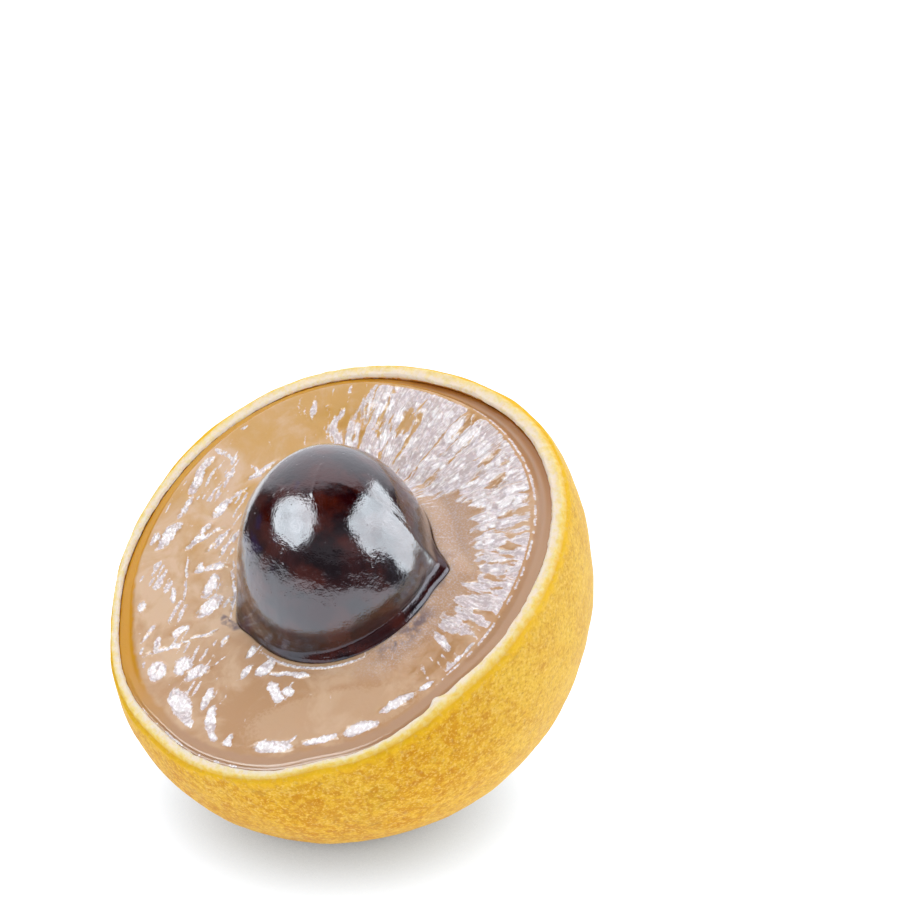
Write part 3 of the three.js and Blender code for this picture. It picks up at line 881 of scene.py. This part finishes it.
def fleshMaterial(look):
    n = Nodes("fleshFinish")
    cloudy = n.noise(2.4, 4.0, 0.6, warp=0.4)
    fine = n.noise(0.16, 4.0, 0.6)
    # streaks that run out from the seed, 0.1 mm wide
    fan = n.math("MULTIPLY", n.attribute("fan"), 10 * mm)
    out = n.math("MULTIPLY", n.attribute("out"), 1.6 * mm)
    streak = n.noise(1.0, 3.0, 0.6, n.add("CombineXYZ", X=fan, Y=out).outputs["Vector"])
    dense, nearSeed = n.attribute("dense"), n.attribute("nearSeed")
    honey = n.attribute("honey")
    base = n.mix(honey, look["blush"], look["honey"])
    milky = n.math("ADD", n.range(cloudy, 0.46, 0.68, 0, 0.6),
                   n.math("MULTIPLY", n.attribute("pale"), n.range(cloudy, 0.3, 0.55, 0.1, 0.6)), True)
    base = n.mix(milky, base, look["milky"])
    # painted reflection: the pale film patches are lightened towards milky
    film = n.math("ADD", n.attribute("film"), n.range(fine, 0.3, 0.7, -0.25, 0.25))
    base = n.mix(n.range(film, 0.1, 0.9, 0, 0.42), base, look["milky"])
    base = n.mix(n.math("MULTIPLY", nearSeed, 0.7), base, look["matte"])
    # painted glints: fine light specks painted on the matte flesh beside the seed
    paintedGlintSpecks = n.math("MULTIPLY", nearSeed, n.range(n.noise(0.1, 3.0, 0.7), 0.45, 0.7, 0, 0.9))
    base = n.mix(paintedGlintSpecks, base, look["paintedHighlight"])
    band = n.mix(n.attribute("golden"), look["bandBlush"], look["band"])
    # painted shade by the rind on the far side
    band = n.mix(n.attribute("shadedWallWedge"), band, look["shadedWallWedge"])
    base = n.mix(n.attribute("band"), base, band)
    # painted highlight: whitish threads laid over the face where the highlight mark says, streaked out
    # from the seed
    texture = n.mix(n.math("MULTIPLY", dense, 0.6), fine, streak)
    cover = n.math("ADD", n.attribute("paintedHighlight"), n.math("SUBTRACT", texture, 0.5))
    cover = n.range(cover, 0.24, 0.58, 0, 0.92)
    highlightThreads = n.mix(n.range(texture, 0.44, 0.62), look["paintedHighlight"], look["paintedHighlightLine"])
    base = n.mix(cover, base, highlightThreads)
    stain = n.math("MULTIPLY", n.attribute("stain"), n.range(n.noise(0.6, 2.0), 0.35, 0.6, 0, 0.8))
    base = n.mix(stain, base, look["stain"])
    roughness = n.range(fine, 0.3, 0.7, 0.08, 0.18)
    normal = n.bump(texture, 0.02, 0.5)
    n.surface(
        Base_Color=base,
        Roughness=n.math("ADD", roughness, n.math("MULTIPLY", nearSeed, 0.25)),
        Normal=normal,
        Subsurface_Weight=0.35,
        Subsurface_Scale=1.1 * mm,
        Subsurface_Radius=(1.0, 0.65, 0.4),
        IOR=1.42,
        Coat_Weight=0.6,
        Coat_Normal=normal,
        Coat_Roughness=0.08,
        Coat_IOR=1.58,
    )
    return n.material


def finish(piece, material, node):
    piece.data.materials.append(material)
    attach(piece, "root")
    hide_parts(node)
    print(piece.name, "made with", len(piece.data.polygons), "faces")


finish(buildRind(rindLook), rindMaterial(rindLook), "rind")
finish(buildSeed(seedLook), seedMaterial(seedLook), "seed")
finish(buildFlesh(fleshLook, seedLook), fleshMaterial(fleshLook), "flesh")

studio = {
    "floorHalf": 1.5,  # metres
    "floorTone": (0.13, 0.18, 0.25),
    # painted glow and painted contact shadow: the floor's own glow, dimmed near what stands on it
    "floorGlow": 1.08,  # the table is a little lit from within, less so near what stands on it
    "floorReach": 4.2,  # millimetres over which that fades
    "floorSoft": 0.5,  # power of that fade: less is softer
    "exposure": 0.0,
    # black card in front, low on the table: it ends the table's reflection in the seed;
    # radius and height at its start and from its bend on, in millimetres
    "card": {"radius": (55, 120), "height": (20, 42), "start": -95, "end": 100, "bend": -20},
    # sky of the room: its brightest direction, then stops of share towards it and brightness
    "sky": (-0.5, 0.55, 0.67),
    "skyStops": ((0.0, 0.04), (0.55, 0.07), (0.68, 0.81), (1.0, 1.33)),
}
# azimuth from -Y towards +X, elevation, distance, width, height, outline, then brightness as
# it lights a surface and as gloss mirrors it
softboxes = {
    "leftBox": (-28, 32, 0.30, 0.31, 0.245, "ELLIPSE", 1.55, 5.8),
    "rightBox": (112, 29, 0.30, 0.48, 0.30, "RECTANGLE", 1.0, 4.95),
    "topPanel": (40, 78, 0.34, 0.40, 0.40, "ELLIPSE", 1.9, 0),
}
lampColour = {"Fill": (0.93, 0.97, 1.0), "Glow": (0.87, 0.96, 1.0)}


def stagePiece(name, corners, faces, tone, glow=0.0, reach=0.0, soft=1.0):
    mesh = bpy.data.meshes.new(name)
    mesh.from_pydata(corners, [], faces)
    piece = bpy.data.objects.new(name, mesh)
    bpy.context.scene.collection.objects.link(piece)
    n = Nodes(name + "Finish")
    if reach:
        # painted contact shadow: ambient occlusion dims the floor's glow near what stands on it
        openShare = n.add("AmbientOcclusion", {"samples": 8}, Distance=reach * mm).outputs["AO"]
        glow = n.math("MULTIPLY", n.math("POWER", openShare, soft), glow)
    n.surface(Base_Color=(*tone, 1.0), Roughness=0.6, Emission_Color=(1, 1, 1, 1),
              Emission_Strength=glow)
    mesh.materials.append(n.material)
    return piece


def addFloor(look):
    half = look["floorHalf"]
    corners = [(-half, -half, 0), (half, -half, 0), (half, half, 0), (-half, half, 0)]
    stagePiece("floor", corners, [(0, 1, 2, 3)], look["floorTone"], look["floorGlow"],
               look["floorReach"], look["floorSoft"])


def addCard(look, centre):
    card = look["card"]
    turn = np.linspace(card["start"], card["end"], 40)
    radius, height = (np.interp(turn, (card["start"], card["bend"]), card[key]) * mm
                      for key in ("radius", "height"))
    turn = np.radians(turn)
    ring = np.stack([np.sin(turn) * radius, -np.cos(turn) * radius, 0 * turn], -1)
    ring = ring + np.array([centre[0], centre[1], 0.0002])
    corners = np.vstack([ring, ring + np.outer(height, (0, 0, 1))])
    count = len(turn)
    faces = [(i, i + 1, count + i + 1, count + i) for i in range(count - 1)]
    piece = stagePiece("blackCard", corners.tolist(), faces, (0.01, 0.01, 0.01))
    piece.visible_camera = piece.visible_diffuse = piece.visible_shadow = False
    piece.visible_transmission = False


def mottleLamp(light):
    # the cloth of the softbox glows unevenly
    light.use_nodes = True
    tree = light.node_tree
    tree.nodes.clear()
    place = tree.nodes.new("ShaderNodeNewGeometry")
    noise = tree.nodes.new("ShaderNodeTexNoise")
    noise.inputs["Scale"].default_value = 3.5
    noise.inputs["Detail"].default_value = 4
    spread = tree.nodes.new("ShaderNodeMapRange")
    for index, number in zip((1, 2, 3, 4), (0.3, 0.7, 0.65, 1.35)):
        spread.inputs[index].default_value = number
    glow = tree.nodes.new("ShaderNodeEmission")
    output = tree.nodes.new("ShaderNodeOutputLight")
    tree.links.new(place.outputs["Parametric"], noise.inputs["Vector"])
    tree.links.new(noise.outputs["Fac"], spread.inputs[0])
    tree.links.new(spread.outputs[0], glow.inputs["Strength"])
    tree.links.new(glow.outputs["Emission"], output.inputs["Surface"])


def addSoftbox(name, box, centre):
    # one lamp lights the surfaces, and a second in its place is seen only in their gloss
    azimuth, elevation, distance, width, height, outline, *brightness = box
    toward = direction(azimuth, elevation)
    matrix = aimAway(toward)
    matrix[:3, 3] = centre + toward * distance
    area = width * height * (math.pi / 4 if outline == "ELLIPSE" else 1)
    for part, strength in zip(lampColour, brightness):
        if not strength:
            continue
        light = bpy.data.lights.new(name + part, "AREA")
        light.shape = outline
        light.size, light.size_y = width, height
        light.energy = strength * math.pi * area
        light.color = lampColour[part]
        if part == "Glow":
            mottleLamp(light)
        piece = bpy.data.objects.new(name + part, light)
        bpy.context.scene.collection.objects.link(piece)
        matrix[:3, 3] -= toward * 0.004 * (part == "Glow")
        piece.matrix_world = matrix.T.tolist()
        piece.visible_glossy = part == "Glow"
        piece.visible_diffuse = piece.visible_transmission = part == "Fill"


def addSky(look):
    world = bpy.data.worlds.new("room")
    bpy.context.scene.world = world
    world.use_nodes = True
    tree = world.node_tree
    tree.nodes.clear()
    place = tree.nodes.new("ShaderNodeTexCoord")
    dot = tree.nodes.new("ShaderNodeVectorMath")
    dot.operation = "DOT_PRODUCT"
    dot.inputs[1].default_value = look["sky"]
    ramp = tree.nodes.new("ShaderNodeFloatCurve")
    curve = ramp.mapping.curves[0]
    stops = look["skyStops"]
    top = stops[-1][1]
    curve.points[0].location = (0.0, stops[0][1] / top)
    curve.points[-1].location = (1.0, 1.0)
    for share, brightness in stops[1:-1]:
        curve.points.new(share, brightness / top)
    ramp.mapping.update()
    strength = tree.nodes.new("ShaderNodeMath")
    strength.operation = "MULTIPLY"
    strength.inputs[1].default_value = top
    background = tree.nodes.new("ShaderNodeBackground")
    background.inputs["Color"].default_value = (0.92, 0.93, 1.0, 1.0)
    output = tree.nodes.new("ShaderNodeOutputWorld")
    tree.links.new(place.outputs["Generated"], dot.inputs[0])
    tree.links.new(dot.outputs["Value"], ramp.inputs["Value"])
    tree.links.new(ramp.outputs["Value"], strength.inputs[0])
    tree.links.new(strength.outputs["Value"], background.inputs["Strength"])
    tree.links.new(background.outputs["Background"], output.inputs["Surface"])


def addCamera(look):
    data = bpy.data.cameras.new("view")
    data.lens = look["lens"]
    data.sensor_width = look["sensor"]
    data.clip_start = 0.005
    camera = bpy.data.objects.new("view", data)
    bpy.context.scene.collection.objects.link(camera)
    camera.matrix_world = viewMatrix(look).T.tolist()
    bpy.context.scene.camera = camera


fruitCentre = toWorld(np.zeros(3))
addFloor(studio)
addCard(studio, fruitCentre)
for name, box in softboxes.items():
    addSoftbox(name, box, fruitCentre)
addSky(studio)
addCamera(viewLook)
view = bpy.context.scene.view_settings
view.view_transform = "Standard"
view.exposure = studio["exposure"]
print("studio ready")
